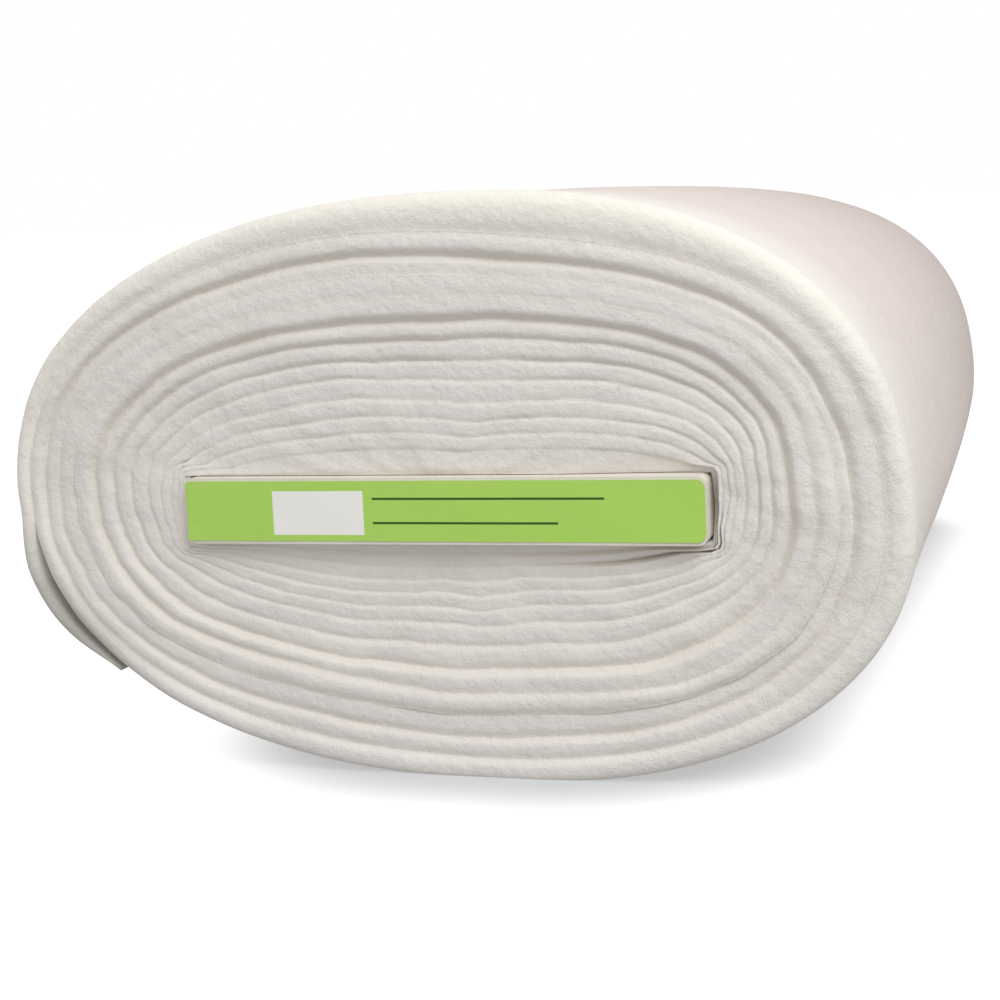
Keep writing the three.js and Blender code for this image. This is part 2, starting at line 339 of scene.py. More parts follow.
def lift(position):
    """Half a sine wave along the way, to the power 1.5, which starts it gently, plus a straight
    rise to the tip's lift."""
    way = np.clip((position - LIFT_FROM) / (LOOSE_END - LIFT_FROM), 0, 1)
    return LIFT * np.clip(np.sin(np.pi * way), 0, 1) ** 1.5 + TIP_LIFT * way


def grown(points, distance):
    """Points moved away from the axis along their own rays."""
    length = np.linalg.norm(points, axis=-1, keepdims=True)
    return points * (1 + np.asarray(distance)[..., None] / length)


def lower_side(position):
    """On the turn before, or on the board in the first turn, and raised by the lift."""
    on_board = ray(position) * around_board(position, CLEARANCE)[..., None]
    before = outside(np.maximum(position - 1, START))
    first = (position - 1 < START)[..., None]
    return grown(np.where(first, on_board, before), lift(position) + HAIRLINE)


def upper_side(position):
    """The outside, but over the loose end the lower side and a thickness that thins out."""
    whole = outside(position)
    below = lower_side(position)
    way = np.clip((position - LIFT_FROM) / (LOOSE_END - LIFT_FROM), 0, 1)
    full = np.linalg.norm(whole, axis=-1) - np.linalg.norm(below, axis=-1) + lift(position)
    thickness = full + (TIP_THICKNESS - full) * way - TIP_PINCH * ramp(way, 0.72, 1.0)
    return np.where((way > 0)[..., None], grown(below, thickness), grown(whole, -HAIRLINE))


STEPS_PER_TURN = 160
steps = int((LOOSE_END - START) * STEPS_PER_TURN)
position = np.linspace(START, LOOSE_END, steps)
upper, lower = upper_side(position), lower_side(position)
thickness = np.linalg.norm(upper - lower, axis=1)
print("thinnest place, mm:", round(thickness.min(), 2), "at turn", round(position[thickness.argmin()], 2))

# %% [markdown]
# Along the roll the turns swell and tighten together, the outer ones most, and the roll's own
# weight presses its underside flat on the floor. So the same section isn't simply pushed through:
# each point is moved along its ray by what the table says at its distance from the front.

# %% Along the roll
BODY = np.array([
    # distance from the front edge, swell
    (0, 0.0),
    (16, 0.0),
    (80, -1.0),
    (240, 0.6),
    (380, 0.2),
    (500, -1.4),
    (580, -3.4),
    (602, -5.2),
    (610, -6.4),
])
SMOOTHING = 25
FLAT_DEPTH = 1.6
UNDERSIDE = -(TURNS[LAST - 1, BOTTOM] + HALF_THICKNESS - FLAT_DEPTH)


def swell(y, position):
    """The body table, smoothed by a moving average, times the fourth power of the growth."""
    distance = np.arange(-SMOOTHING, ROLL_LENGTH + SMOOTHING)
    raw = np.interp(distance, BODY[:, 0], BODY[:, 1])
    smooth = np.convolve(raw, np.ones(SMOOTHING) / SMOOTHING, mode="same")
    return np.interp(y - FRONT, distance, smooth) * (position / LOOSE_END) ** 4


print("underside, mm over the floor:", round(UNDERSIDE - FLOOR, 2))

# %% [markdown]
# The folded edge is a soft ridge with a crease on each side. Its crest sways a little, because
# nobody lays the folds quite even. Where the sheet is squeezed thin the creases close up, and just
# over and under the board they are only faint.

# %% Crests and creases
BACK_SHIFT = 0.6
STEP_BACK, STEP_FORWARD, STEP_TURNS = 3.0, 2.4, (1.5, 6.5)
PIT, PIT_AT, SLIP = 8.5, (1.0, 0.03), 2.6
CREST_WAVES = np.array([1.07, 2.96, 7.1, 15.9, 31.2])
CREST_DEPTHS = np.array([0.5, 0.4, 0.3, 0.2, 0.12])
CLOSED_WAVES = np.array([5.3, 11.7, 23.1])
CLOSED_DEPTHS = np.array([0.1, 0.12, 0.12])
SHALLOWEST, DEPTH_SHARE, DEPTH_GROWTH = 0.08, 0.155, 0.024
# Layer thickness in mm at which the creases begin to open, and at which they are full.
OPENING = (1.2, 7.0)
UNDER_FAINT, UNDER_TURNS = 0.93, (4.5, 8.5)
OVER_FAINT, OVER_TURNS = 0.4, (2.0, 5.0)
GAPS = (
    # extra depth, middle and width in turns
    (1.0, 0.9, 0.04),
    (3.4, 1.935, 0.035),
)


def sways(position, waves, depths, seed):
    """Sum of sines of the position, each of its own depth and random phase."""
    phases = np.random.default_rng(seed).uniform(0, 2 * np.pi, len(waves))
    angles = 2 * np.pi * np.multiply.outer(position, waves) + phases
    return (depths * np.sin(angles)).sum(axis=-1)


def crest_line(position, end):
    """How far the crest of the folded edge stands into the roll: less the table's proud, plus its
    sway, a step back under the board and forward above it in the inner turns, a pit beside the
    board where the first turn slipped, and a slip of the loose end."""
    share, seed = (1, 3) if end == "front" else (BACK_SHIFT, 4)
    inner = 1 - ramp(position, *STEP_TURNS)
    under = np.maximum(0, -np.sin(2 * np.pi * position))
    over = np.maximum(0, np.sin(2 * np.pi * position))
    table = -along(PROUD, position) + (STEP_BACK * under - STEP_FORWARD * over) * inner
    pit = PIT * bell(position, *PIT_AT)
    slip = SLIP * ramp(position, LIFT_FROM + 0.02, LOOSE_END - 0.02)
    return share * (table + pit + slip) + sways(position, CREST_WAVES, CREST_DEPTHS, seed)


def crease_line(position):
    """How far the crease outside a turn lies under its crest: the table's depth times a share
    that grows with it, less where the turn is thin or lies close over or under the board, with
    patches where it nearly closes, and with gaps at the board's lower right corner."""
    reach = np.linalg.norm(outside(position), axis=-1)
    before = np.linalg.norm(outside(np.maximum(position - 1, START)), axis=-1)
    thin = ramp(reach - before, *OPENING)
    under = np.maximum(0, -np.sin(2 * np.pi * position))
    over = np.maximum(0, np.sin(2 * np.pi * position))
    faint = 1 - UNDER_FAINT * under * (1 - ramp(position, *UNDER_TURNS))
    faint = faint - OVER_FAINT * over * (1 - ramp(position, *OVER_TURNS))
    patches = 1 + sways(position, CLOSED_WAVES, CLOSED_DEPTHS, 7)
    table = np.interp(position, CREASES[:, 0], CREASES[:, 1])
    gap = sum(depth * bell(position, turn, width) for depth, turn, width in GAPS)
    share = DEPTH_SHARE + DEPTH_GROWTH * table
    return SHALLOWEST + table * share * thin * faint * patches + gap


print("deepest crease, mm:", round(crease_line(position).max(), 2))

# %% [markdown]
# Across the sheet the height falls from the crest to the creases on its two sides. Crest and crease
# are both round, because needled fibres can't make a sharp valley. At the front, the last turn has
# no crease outside it but the rim of the roll, which is fullest at the upper right.

# %% The folded edge
EDGE_POWER, POWER_DROP, POWER_TURNS = 2.1, 0.6, (6.5, 9.0)
LEAST_DEPTH = 0.25
RIM, RIM_MORE, RIM_MOST_AT = 3.0, 4.0, math.radians(50)
RIM_TURNS = (LOOSE_END - 1.06, LOOSE_END - 0.98)


def folded_edge(position, lower, upper, end, rings):
    """One end of the sheet: across runs from -1 to 1, and the height falls from the crest by the
    crease's depth times the squared sine of a quarter turn times across to a power, which is
    higher in the tight inner turns, so they are flatter with narrower creases. The outer half of
    the last turn at the front is the roll's rim, and falls like a rounded corner."""
    crest, upper_depth = crest_line(position, end), crease_line(position)
    before = np.maximum(position - 1, START)
    floor_before = crest_line(before, end) + crease_line(before)
    lower_depth = np.maximum(floor_before - crest, LEAST_DEPTH)
    across = np.sin(np.linspace(-np.pi / 2, np.pi / 2, rings) * 0.999)[None, :]
    middle, half = (upper + lower) / 2, (upper - lower) / 2
    flat = middle[:, None, :] + half[:, None, :] * across[..., None]
    last = ramp(position, *RIM_TURNS) * (1 if end == "front" else 0)
    rim = RIM + RIM_MORE * np.maximum(0, np.cos(2 * np.pi * position - RIM_MOST_AT))
    upper_depth = upper_depth + (rim - upper_depth) * last
    depth = np.where(across < 0, lower_depth[:, None], upper_depth[:, None])
    power = EDGE_POWER - POWER_DROP * ramp(position, *POWER_TURNS)[:, None]
    soft = np.sin(np.pi / 2 * np.abs(across) ** power) ** 2
    round_rim = 1 - np.sqrt(np.maximum(0, 1 - np.abs(across) ** 2.2))
    fall = np.where(across > 0, soft + (round_rim - soft) * last[:, None], soft)
    into = crest[:, None] + depth * fall
    y = FRONT + into if end == "front" else BACK - into
    return np.concatenate([flat[..., :1], y[..., None], flat[..., 1:]], axis=-1)


EDGE_RINGS, SIDE_RINGS, BACK_RINGS = 19, 9, 7
front_edge = folded_edge(position, lower, upper, "front", EDGE_RINGS)
back_edge = folded_edge(position, lower, upper, "back", BACK_RINGS)[:, ::-1]
print("front edge from", round(front_edge[..., 1].min(), 1), "to", round(front_edge[..., 1].max(), 1))

# %% [markdown]
# At each step along the sheet, the two folded edges and the two sides between them make one loop of
# points. Loop after loop, they are the whole skin of the sheet.

# %% Loops round the sheet
def side(edge_point, far_point):
    """Rings between the two ends of one side: straight between them, closer near the ends."""
    share = 0.5 - 0.5 * np.cos(np.linspace(0, np.pi, SIDE_RINGS + 2)[1:-1])
    return edge_point[:, None, :] + (far_point - edge_point)[:, None, :] * share[:, None]


outer_side = side(front_edge[:, -1], back_edge[:, 0])
inner_side = side(back_edge[:, -1], front_edge[:, 0])
loops = np.concatenate([front_edge, outer_side, back_edge, inner_side], axis=1)
swollen = grown(loops[..., [0, 2]], swell(loops[..., 1], position[:, None]))
loops[..., [0, 2]] = swollen
loops[..., 2] = np.maximum(loops[..., 2], UNDERSIDE)
print("points round the sheet:", loops.shape[1], "steps along it:", loops.shape[0])

# %% [markdown]
# Three numbers go with each point of the sheet, for its finish to read: how far it is sunk into a crease,
# which the finish turns into painted crease shade; a painted highlight, which the outermost turn has on
# its upper side; and a painted shade, which the loose end has, and the stretch of the turn under it.

# %% Marks for the finish
FULLY_SUNK = 1.6
LAST_TURN_RISE = (LOOSE_END - 1.3, LOOSE_END - 0.9)
HIGHLIGHT_AT = math.radians(85)
END_SHADE_TURNS = (LIFT_FROM - 0.03, LOOSE_END - 0.02)
GAP_SHADE, GAP_SHADE_AT = 0.6, (LOOSE_END - 1.03, 0.03)
sunk = np.zeros(loops.shape[:2])
sunk[:, :EDGE_RINGS] = front_edge[..., 1] - FRONT - crest_line(position, "front")[:, None]
last_turn = ramp(position, *LAST_TURN_RISE)
sunk = np.clip(sunk / FULLY_SUNK, 0, 1) * (1 - last_turn[:, None])
# Painted highlight: strongest on the upper side of the last turn, and less round it.
painted_highlight = last_turn * (0.5 + 0.5 * np.cos(2 * np.pi * position - HIGHLIGHT_AT))
# Painted shade: the loose end, and the stretch of the turn under it.
painted_end_shade = ramp(position, *END_SHADE_TURNS) + GAP_SHADE * bell(position, *GAP_SHADE_AT)
print("share of the points in a crease:", round(float((sunk > 0.5).mean()), 2))

# %% [markdown]
# The loops are joined into one closed skin: quads between neighbours, and a cap on the start and on the
# tip of the sheet.

# %% Make the meshes
def grid_faces(rows, columns):
    """Quads of a grid whose columns close on themselves, from the row and column of each corner."""
    row, column = np.meshgrid(np.arange(rows - 1), np.arange(columns), indexing="ij")
    after = (column + 1) % columns
    corners = [row * columns + column, row * columns + after,
               (row + 1) * columns + after, (row + 1) * columns + column]
    return np.stack(corners, axis=-1).reshape(-1, 4)


def make_piece(name, points, faces, material, slot, *replaced):
    """A smooth mesh object at the origin from points in mm, which rides on the root body."""
    mesh = bpy.data.meshes.new(name)
    mesh.from_pydata(to_frame(points).tolist(), [], faces)
    mesh.polygons.foreach_set("use_smooth", np.ones(len(mesh.polygons), bool))
    mesh.materials.append(material)
    mesh.validate()
    piece = bpy.data.objects.new(name, mesh)
    bpy.context.scene.collection.objects.link(piece)
    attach(piece, "root")
    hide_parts(*replaced)
    print(name, "faces:", len(mesh.polygons))
    return piece


def mark(piece, name, values):
    """Stores one number a point, which the materials can read by its name."""
    layer = piece.data.attributes.new(name, "FLOAT", "POINT")
    layer.data.foreach_set("value", np.asarray(values, dtype=np.float32).ravel())


def closed_loops(loops):
    """Points and faces of a tube of loops with a flat cap on both ends."""
    rows, columns = loops.shape[:2]
    faces = grid_faces(rows, columns).tolist()
    faces.append(list(range(columns))[::-1])
    faces.append(list(range((rows - 1) * columns, rows * columns)))
    return loops.reshape(-1, 3), faces


# %% [markdown]
# ## Finishes
# One function adds a node with its settings and links. Colours are written as sRGB hex values, the
# way a paint chart gives them, and turned to linear light once.

# %% Node helper and colours
def linear(code):
    """sRGB hex to linear red, green, blue and 1: the standard curve, channel by channel."""
    channels = np.array([int(code[i:i + 2], 16) for i in (1, 3, 5)]) / 255
    curve = np.where(channels <= 0.04045, channels / 12.92, ((channels + 0.055) / 1.055) ** 2.4)
    return (*curve.tolist(), 1.0)


def add(tree, kind, inputs=(), **settings):
    """Adds a node. Inputs map a socket's name or number to a value or to another node's socket."""
    made = tree.nodes.new(kind)
    for name, value in settings.items():
        setattr(made, name, value)
    for name, value in dict(inputs).items():
        if isinstance(value, bpy.types.NodeSocket):
            tree.links.new(value, made.inputs[name])
        else:
            made.inputs[name].default_value = value
    return made


def new_material(name, **sockets):
    """A material with one Principled shader, whose constant sockets are set directly."""
    material = bpy.data.materials.new(name)
    material.use_nodes = True
    tree = material.node_tree
    tree.nodes.clear()
    shader = add(tree, "ShaderNodeBsdfPrincipled", sockets)
    add(tree, "ShaderNodeOutputMaterial", {"Surface": shader.outputs["BSDF"]})
    return material, tree, shader


def per_mm(size):
    """Noise scale for features of this size in mm: features a metre."""
    return 1 / (size * MM)


print("middle grey in linear light:", round(linear("#808080")[0], 3))

# %% [markdown]
# Needled cotton is a mat of fibres 10 to 20 mm long, too fine to see one by one. From a step away
# the eye sees four things: soft dents where a hand held the roll, a faint cloudiness where the web
# is thicker, the tiny dimples of the needles, and a nap that catches light at grazing angles. Each
# is a noise of its own size. The fibres are drawn coarser than real, about half a millimetre, so
# that they show at all.

# %% Needled cotton batting: patterns
DENT, CLOUD, NEEDLE, LUMP, FIBRE = 48.0, 26.0, 2.4, 5.0, 0.6
batting, tree, shader = new_material("needled_cotton_batting", **{
    "Roughness": 1.0,
    "Specular IOR Level": 0.1,
    "Sheen Weight": 0.2,
    "Sheen Roughness": 0.5,
})
place = add(tree, "ShaderNodeTexCoord").outputs["Object"]
cloud = add(tree, "ShaderNodeTexNoise", {"Vector": place, "Scale": per_mm(CLOUD), "Detail": 3})
dent = add(tree, "ShaderNodeTexNoise", {"Vector": place, "Scale": per_mm(DENT), "Detail": 1})
lump = add(tree, "ShaderNodeTexNoise", {"Vector": place, "Scale": per_mm(LUMP), "Detail": 3})
fibre = add(tree, "ShaderNodeTexNoise", {"Vector": place, "Scale": per_mm(FIBRE), "Detail": 4})
needle = add(tree, "ShaderNodeTexVoronoi", {"Vector": place, "Scale": per_mm(NEEDLE)})
print("batting: clouds", CLOUD, "mm, needle dimples", NEEDLE, "mm, fibres", FIBRE, "mm")

# %% [markdown]
# The creases get a painted shade, pale and a little darker and warmer, as if light went a few millimetres
# into the cotton. The long side gets a painted warm light, with a painted shade that deepens towards the
# back, which the two ends and the highlighted last turn don't have. The loose end and the stretch under
# it get a painted shade, a little greyer.

# %% Needled cotton batting: colours
FRONT_END, BACK_END = 110, 12
depth = add(tree, "ShaderNodeSeparateXYZ", {"Vector": place}).outputs["Y"]
near = add(tree, "ShaderNodeMapRange", {
    "Value": depth, "From Min": FRONT * MM, "From Max": (FRONT + FRONT_END) * MM},
    interpolation_type="SMOOTHSTEP")
far = add(tree, "ShaderNodeMapRange", {
    "Value": depth, "From Min": FRONT * MM, "From Max": BACK * MM})
web_tone = add(tree, "ShaderNodeMixRGB", {
    "Fac": cloud.outputs["Fac"],
    "Color1": linear("#eae7e3"),
    "Color2": linear("#f2efea"),
})
# Painted crease shade: the deeper a point is sunk into a crease, the darker and warmer its tone.
in_crease = add(tree, "ShaderNodeAttribute", attribute_name="sunk").outputs["Fac"]
painted_crease_shade = add(tree, "ShaderNodeMixRGB", {
    "Fac": in_crease, "Color1": web_tone.outputs[0], "Color2": linear("#ebe5dc")})
# Painted highlight: the upper side of the last turn gets a lighter, creamier tone.
outermost = add(tree, "ShaderNodeAttribute", attribute_name="painted_highlight").outputs["Fac"]
highlit_tone = add(tree, "ShaderNodeMixRGB", {
    "Fac": outermost, "Color1": painted_crease_shade.outputs[0], "Color2": linear("#fbf7ee")})
# Painted shade: the loose end and the turn under it go greyer.
end_shade = add(tree, "ShaderNodeAttribute", attribute_name="painted_end_shade").outputs["Fac"]
shaded_end_tone = add(tree, "ShaderNodeMixRGB", {
    "Fac": end_shade, "Color1": highlit_tone.outputs[0], "Color2": linear("#c2bfb9")})
# Painted light and shade on the long side: a warm cast, darker towards the back where the light falls
# off.
painted_side_light = add(tree, "ShaderNodeMixRGB", {
    "Fac": far.outputs[0],
    "Color1": linear("#f8ede7"),
    "Color2": linear("#e2d5cf"),
})
thick_web = add(tree, "ShaderNodeMapRange", {
    "Value": lump.outputs["Fac"], "From Min": 0.3, "From Max": 0.7, "To Min": 0.955, "To Max": 1.0})
mottled = add(tree, "ShaderNodeMixRGB", {
    "Fac": 1.0, "Color1": painted_side_light.outputs[0], "Color2": thick_web.outputs[0]},
    blend_type="MULTIPLY")
# Near the front and the back ends, the painted side light gives way to the ends' own tones.
side_tone = add(tree, "ShaderNodeMixRGB", {
    "Fac": near.outputs[0], "Color1": shaded_end_tone.outputs[0], "Color2": mottled.outputs[0]})
back_end = add(tree, "ShaderNodeMapRange", {
    "Value": depth, "From Min": (BACK - BACK_END) * MM, "From Max": (BACK - 2) * MM},
    interpolation_type="SMOOTHSTEP")
tone = add(tree, "ShaderNodeMixRGB", {
    "Fac": back_end.outputs[0], "Color1": side_tone.outputs[0], "Color2": web_tone.outputs[0]})
tree.links.new(tone.outputs["Color"], shader.inputs["Base Color"])
print("the ends' tone gives way to the side's over", FRONT_END, "mm in front and", BACK_END, "behind")

# %% [markdown]
# The same patterns raise the surface, the coarse ones first: each bump bends the normal that the
# one before it gives.

# %% Needled cotton batting: relief
dents = add(tree, "ShaderNodeBump", {
    "Height": dent.outputs["Fac"], "Strength": 0.45, "Distance": 0.006})
lumps = add(tree, "ShaderNodeBump", {
    "Height": lump.outputs["Fac"], "Strength": 0.42, "Distance": 0.002,
    "Normal": dents.outputs["Normal"]})
dimples = add(tree, "ShaderNodeBump", {
    "Height": needle.outputs["Distance"], "Strength": 0.2, "Distance": 0.0006,
    "Normal": lumps.outputs["Normal"]})
nap = add(tree, "ShaderNodeBump", {
    "Height": fibre.outputs["Fac"], "Strength": 0.5, "Distance": 0.0006,
    "Normal": dimples.outputs["Normal"]})
tree.links.new(nap.outputs["Normal"], shader.inputs["Normal"])

# %% [markdown]
# The sheet takes the place of the CAD roll and rides on the same body.

# %% The wound sheet
points, faces = closed_loops(loops)
wound = make_piece("wound_batting", points, faces, batting, "batting", "batting_roll")
# This mark carries the painted crease shade.
mark(wound, "sunk", sunk)
# This mark carries the painted highlight on the last turn.
mark(wound, "painted_highlight", np.broadcast_to(painted_highlight[:, None], loops.shape[:2]))
# This mark carries the painted shade on the loose end and the turn under it.
mark(wound, "painted_end_shade", np.broadcast_to(painted_end_shade[:, None], loops.shape[:2]))

# %% [markdown]
# ## The board and its label
# The core is a stiff white-lined board. Its CAD solid already has the right shape, so it only gets
# a finish: a matt, slightly warm paper lining with the faint cloudiness of pulp and a few scuffs.

# %% White-lined board
PULP, SCUFF = 9.0, 2.2
lining, tree, shader = new_material("white_lined_board", **{
    "Roughness": 0.85, "Specular IOR Level": 0.25})
place = add(tree, "ShaderNodeTexCoord").outputs["Object"]
pulp = add(tree, "ShaderNodeTexNoise", {"Vector": place, "Scale": per_mm(PULP), "Detail": 5})
scuff = add(tree, "ShaderNodeTexNoise", {"Vector": place, "Scale": per_mm(SCUFF), "Detail": 2})
tone = add(tree, "ShaderNodeMixRGB", {
    "Fac": pulp.outputs["Fac"],
    "Color1": linear("#e3ddd0"),
    "Color2": linear("#f4f0e6"),
})
tree.links.new(tone.outputs["Color"], shader.inputs["Base Color"])
grain = add(tree, "ShaderNodeBump", {
    "Height": scuff.outputs["Fac"], "Strength": 0.3, "Distance": 0.0003})
tree.links.new(grain.outputs["Normal"], shader.inputs["Normal"])
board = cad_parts["core_board"]
board.data.materials.clear()
board.data.materials.append(lining)
print("board finish: pulp clouds", PULP, "mm, scuffs", SCUFF, "mm")

# %% [markdown]
# The label is a strip of printed paper, pasted on the end of the board. Pasted paper is never quite
# flat: it cockles as the paste dries, and its corners lift a little. It is made as a thin closed
# loop carried from left to right; the loop gets shorter near the right end, which rounds the
# corners there, while the left end was cut off square. The print is kept plain: a green ground, a
# blank white panel and two thin rules.

# %% Paper label
label_low, label_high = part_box("end_label")
LABEL_WIDTH = (label_high.x - label_low.x) / MM
LABEL_HEIGHT = (label_high.z - label_low.z) / MM
PAPER, PASTE = 0.22, 0.06
CORNER_RIGHT, CORNER_LEFT = 3.2, 0.7
COCKLE, CORNER_LIFT = 0.09, 0.25
LABEL_COLUMNS, LABEL_ROWS = 160, 19


def half_height(x):
    """Half the strip's height, less a circle's fall within one corner radius of each end."""
    half = np.full_like(x, LABEL_HEIGHT / 2)
    for end, radius in ((-1, CORNER_LEFT), (1, CORNER_RIGHT)):
        past = np.clip(end * x - (LABEL_WIDTH / 2 - radius), 0, radius)
        half -= radius - np.sqrt(np.maximum(radius ** 2 - past ** 2, 0))
    return half


def paper_height(x, z):
    """Cockle as crossed sines plus 1, so it is never below zero, plus a corner lift: a high power
    of the way to the ends times the cube of the way to the long edges."""
    waves = 1 + np.sin(x / 11 + 0.6 * np.sin(z / 5)) * np.cos(z / 7 + x / 29)
    edge = np.abs(2 * x / LABEL_WIDTH) ** 14 * np.abs(2 * z / LABEL_HEIGHT) ** 3
    return COCKLE * waves + CORNER_LIFT * edge


ends = np.sin(np.linspace(-np.pi / 2, np.pi / 2, LABEL_COLUMNS))
ends = 0.5 * ends + 0.5 * np.linspace(-1, 1, LABEL_COLUMNS)
strip_x = (ends * LABEL_WIDTH / 2)[:, None]
strip_z = half_height(strip_x) * np.linspace(-1, 1, LABEL_ROWS)[None, :]
strip_x = np.broadcast_to(strip_x, strip_z.shape)
raised = paper_height(strip_x, strip_z)
board_front = board_low.y / MM
face_side = np.stack([strip_x, board_front - PASTE - PAPER - raised, strip_z], axis=-1)
paste_side = np.stack([strip_x, board_front - PASTE - raised, strip_z], axis=-1)
label_loops = np.concatenate([face_side[:, ::-1], paste_side], axis=1)
print("label, mm:", round(LABEL_WIDTH, 1), "by", round(LABEL_HEIGHT, 1))

# %% [markdown]
# The print is worked out from the place on the paper. A comparison gives 1 within half a length of
# a middle, so two of them multiplied give a rectangle. Offset ink on uncoated paper has a faint
# mottle, and the fibres under it show as a very fine grain.

# %% Printed paper
RECTANGLES = {
    # middle across, middle up, half width, half height, in mm from the label's middle
    "panel": (-47.2, -0.7, 18.3, 8.4),
    "upper rule": (19.5, 4.7, 44.8, 0.45),
    "lower rule": (10.7, -4.5, 36.0, 0.45),
}
MOTTLE, GRAIN = 3.0, 0.5
paper, tree, shader = new_material("printed_uncoated_paper", **{
    "Roughness": 0.6, "Specular IOR Level": 0.3})
place = add(tree, "ShaderNodeTexCoord").outputs["Object"]
split = add(tree, "ShaderNodeSeparateXYZ", {"Vector": place})
masks = {}
for name, (across, up, half_width, half_rise) in RECTANGLES.items():
    in_x = add(tree, "ShaderNodeMath", {
        0: split.outputs["X"], 1: AXIS[0] + across * MM, 2: half_width * MM}, operation="COMPARE")
    in_z = add(tree, "ShaderNodeMath", {
        0: split.outputs["Z"], 1: AXIS[2] + up * MM, 2: half_rise * MM}, operation="COMPARE")
    masks[name] = add(tree, "ShaderNodeMath", {
        0: in_x.outputs[0], 1: in_z.outputs[0]}, operation="MULTIPLY").outputs[0]
rules = add(tree, "ShaderNodeMath", {
    0: masks["upper rule"], 1: masks["lower rule"]}, operation="MAXIMUM").outputs[0]
mottle = add(tree, "ShaderNodeTexNoise", {"Vector": place, "Scale": per_mm(MOTTLE), "Detail": 4})
grain = add(tree, "ShaderNodeTexNoise", {"Vector": place, "Scale": per_mm(GRAIN), "Detail": 2})
green = add(tree, "ShaderNodeMixRGB", {
    "Fac": mottle.outputs["Fac"], "Color1": linear("#b3e165"), "Color2": linear("#bce66f")})
with_panel = add(tree, "ShaderNodeMixRGB", {
    "Fac": masks["panel"], "Color1": green.outputs[0], "Color2": linear("#fdfdf8")})
with_rules = add(tree, "ShaderNodeMixRGB", {
    "Fac": rules, "Color1": with_panel.outputs[0], "Color2": linear("#3c6122")})
tree.links.new(with_rules.outputs["Color"], shader.inputs["Base Color"])
tooth = add(tree, "ShaderNodeBump", {
    "Height": grain.outputs["Fac"], "Strength": 0.25, "Distance": 0.0001})
tree.links.new(tooth.outputs["Normal"], shader.inputs["Normal"])
points, faces = closed_loops(label_loops)
label = make_piece("paper_label", points, faces, paper, "label_paper", "end_label")
label.data.set_sharp_from_angle(angle=math.radians(50))

# %% [markdown]
# ## Light, floor and camera
# A white sweep in a studio: the floor is a light table that burns out to white, as in a catalogue
# picture, and only the soft shadow where the roll stands stays grey. That grey is partly real shadow and
# partly painted shadow: the floor's glow is dimmed near the patch under the roll and grows with the
# distance from it, which is the length of what is left of a point's place, side by side, once the patch's
# half sizes are taken away. The floor throws no light back on the roll.

# %% Floor
FLOOR_HALF = 60.0
GLOW_IN_PAINTED_SHADOW, GLOW_AWAY = 0.43, 1.0
PATCH_MIDDLE, PATCH_HALF_X, PATCH_HALF_Y = 28.0, 20.0, 236.0
PATCH_TURN = 0.055
HALO_FROM, HALO_TO = 70.0, 129.0
floor_material, tree, shader = new_material("white_studio_floor", **{
    "Base Color": linear("#898b8d"),
    "Roughness": 0.9,
    "Specular IOR Level": 0.0,
    "Emission Color": (1, 1, 1, 1),
})
place = add(tree, "ShaderNodeTexCoord").outputs["Object"]
from_middle = add(tree, "ShaderNodeMapping", {
    "Vector": place, "Location": (-PATCH_MIDDLE * MM, 0, 0),
    "Rotation": (0, 0, PATCH_TURN)}).outputs[0]
one_side = add(tree, "ShaderNodeVectorMath", {0: from_middle}, operation="ABSOLUTE").outputs[0]
past = add(tree, "ShaderNodeVectorMath", {
    0: one_side, 1: (PATCH_HALF_X * MM, PATCH_HALF_Y * MM, 0)}, operation="SUBTRACT").outputs[0]
past = add(tree, "ShaderNodeVectorMath", {0: past, 1: (0, 0, 0)}, operation="MAXIMUM").outputs[0]
away = add(tree, "ShaderNodeVectorMath", {0: past}, operation="LENGTH")
# Painted shadow: the floor's glow is lowest near the patch under the roll.
glow = add(tree, "ShaderNodeMapRange", {
    "Value": away.outputs["Value"], "From Min": HALO_FROM * MM, "From Max": HALO_TO * MM,
    "To Min": GLOW_IN_PAINTED_SHADOW, "To Max": GLOW_AWAY}, interpolation_type="SMOOTHSTEP")
tree.links.new(glow.outputs[0], shader.inputs["Emission Strength"])
floor_mesh = bpy.data.meshes.new("studio_floor")
floor_corners = FLOOR_HALF * np.array([(-1, -1, 0), (1, -1, 0), (1, 1, 0), (-1, 1, 0)])
floor_mesh.from_pydata(floor_corners.tolist(), [], [(0, 1, 2, 3)])
floor_mesh.materials.append(floor_material)
floor = bpy.data.objects.new("studio_floor", floor_mesh)
bpy.context.scene.collection.objects.link(floor)
floor.visible_diffuse = False
floor.visible_glossy = False
print("floor glow grows from", HALO_FROM, "to", HALO_TO, "mm from the patch")

# %% [markdown]
# The surroundings are a pale room. Its lower half is dimmer than its upper one, so the ridges keep
# their shade, and the camera sees it as plain white.

# %% Surroundings
HORIZON = (-0.3, 0.5)
world = bpy.data.worlds.new("studio")
world.use_nodes = True
bpy.context.scene.world = world
tree = world.node_tree
tree.nodes.clear()
way = add(tree, "ShaderNodeTexCoord").outputs["Generated"]
height = add(tree, "ShaderNodeSeparateXYZ", {"Vector": way}).outputs["Z"]
upward = add(tree, "ShaderNodeMapRange", {
    "Value": height, "From Min": HORIZON[0], "From Max": HORIZON[1]},
    interpolation_type="SMOOTHSTEP")
glow = add(tree, "ShaderNodeMixRGB", {
    "Fac": upward.outputs[0], "Color1": (0.42, 0.41, 0.405, 1), "Color2": (0.68, 0.67, 0.66, 1)})
seen = add(tree, "ShaderNodeBackground", {"Color": (1, 1, 1, 1), "Strength": 1.0})
ambient = add(tree, "ShaderNodeBackground", {"Color": glow.outputs[0], "Strength": 1.0})
path = add(tree, "ShaderNodeLightPath")
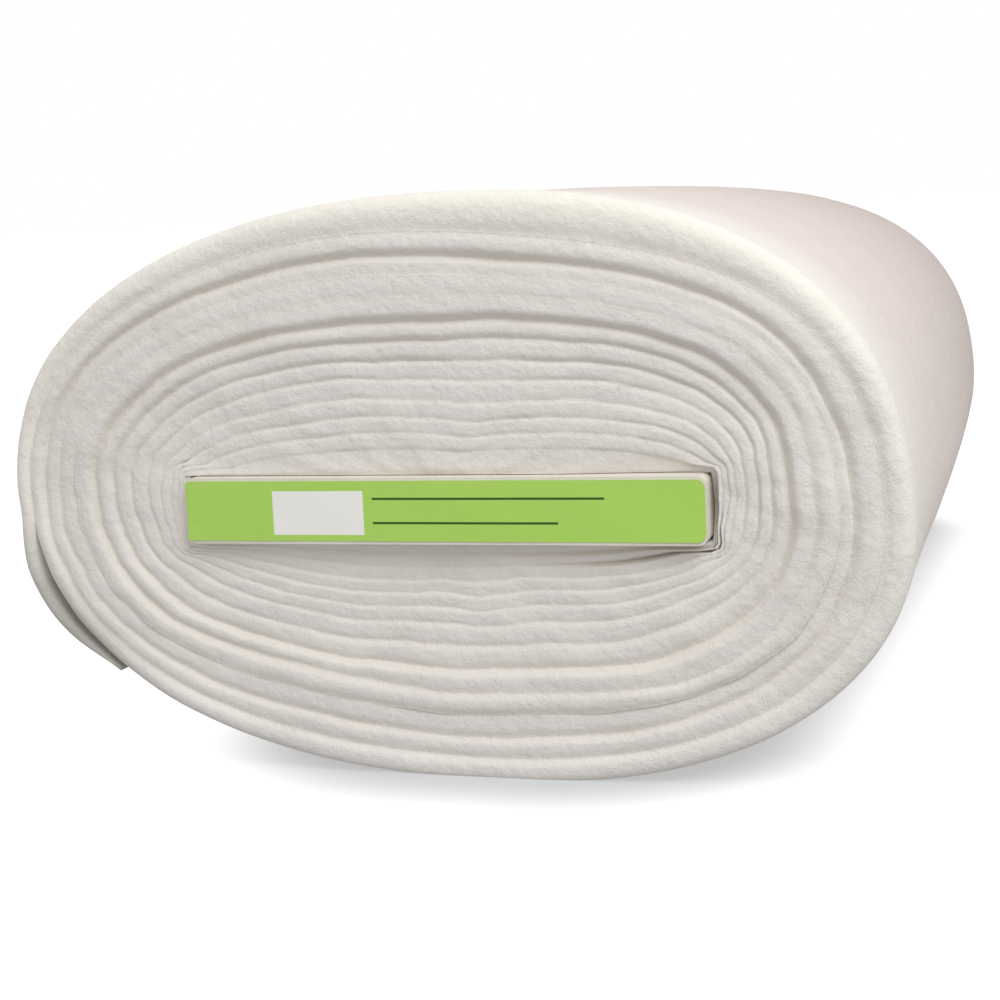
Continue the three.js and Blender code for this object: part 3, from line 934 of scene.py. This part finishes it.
both = add(tree, "ShaderNodeMixShader", {
    0: path.outputs["Is Camera Ray"], 1: ambient.outputs[0], 2: seen.outputs[0]})
add(tree, "ShaderNodeOutputWorld", {"Surface": both.outputs[0]})
print("surroundings grow brighter from height", HORIZON[0], "to", HORIZON[1], "of the way up")

# %% [markdown]
# The key light is a large softbox above, in front and to the right, near enough to fade along the
# roll, so every folded edge is bright on its upper side and falls into shade on its lower one.

# %% Softbox
TO_LIGHT = Vector((0.5, -0.5, 0.71))
LIGHT_AWAY, LIGHT_SIZE, LIGHT_WATTS = 1.45, 1.0, 10.5
LIT_HEIGHT = 0.1
light_data = bpy.data.lights.new("high_softbox", "AREA")
light_data.energy = LIGHT_WATTS
light_data.size = LIGHT_SIZE
light = bpy.data.objects.new("high_softbox", light_data)
light.location = Vector((0, cad_low.y, LIT_HEIGHT)) + TO_LIGHT * LIGHT_AWAY
light.rotation_euler = TO_LIGHT.to_track_quat("Z", "Y").to_euler()
bpy.context.scene.collection.objects.link(light)
bpy.context.scene.view_settings.view_transform = "Standard"
print("softbox, m:", LIGHT_SIZE, "wide and", LIGHT_AWAY, "away,", LIGHT_WATTS, "W")

# %% [markdown]
# The camera stands to the right of the roll and a little above it, and looks back at the labelled
# end. Its place was worked out from the four corners of the label and the vanishing point of the
# roll's sides.

# %% Camera
CAMERA_FROM_AXIS = np.array([222.2, FRONT - 676.4, 111.6])
YAW, PITCH, ROLL = math.radians(16.29), math.radians(8.68), math.radians(-2.598)
SENSOR, FOCAL = 36.0, 69.48
level_right = Vector((math.cos(YAW), math.sin(YAW), 0))
forward = Vector((-math.sin(YAW) * math.cos(PITCH), math.cos(YAW) * math.cos(PITCH), -math.sin(PITCH)))
level_up = level_right.cross(forward)
right = math.cos(ROLL) * level_right + math.sin(ROLL) * level_up
up = math.cos(ROLL) * level_up - math.sin(ROLL) * level_right
camera_data = bpy.data.cameras.new("camera")
camera_data.sensor_width = SENSOR
camera_data.lens = FOCAL
camera = bpy.data.objects.new("camera", camera_data)
turned = Matrix((right, up, -forward)).transposed().to_4x4()
camera.matrix_world = Matrix.Translation(to_frame(CAMERA_FROM_AXIS)) @ turned
bpy.context.scene.collection.objects.link(camera)
bpy.context.scene.camera = camera
print("field of view, degrees:", round(math.degrees(camera_data.angle), 2))
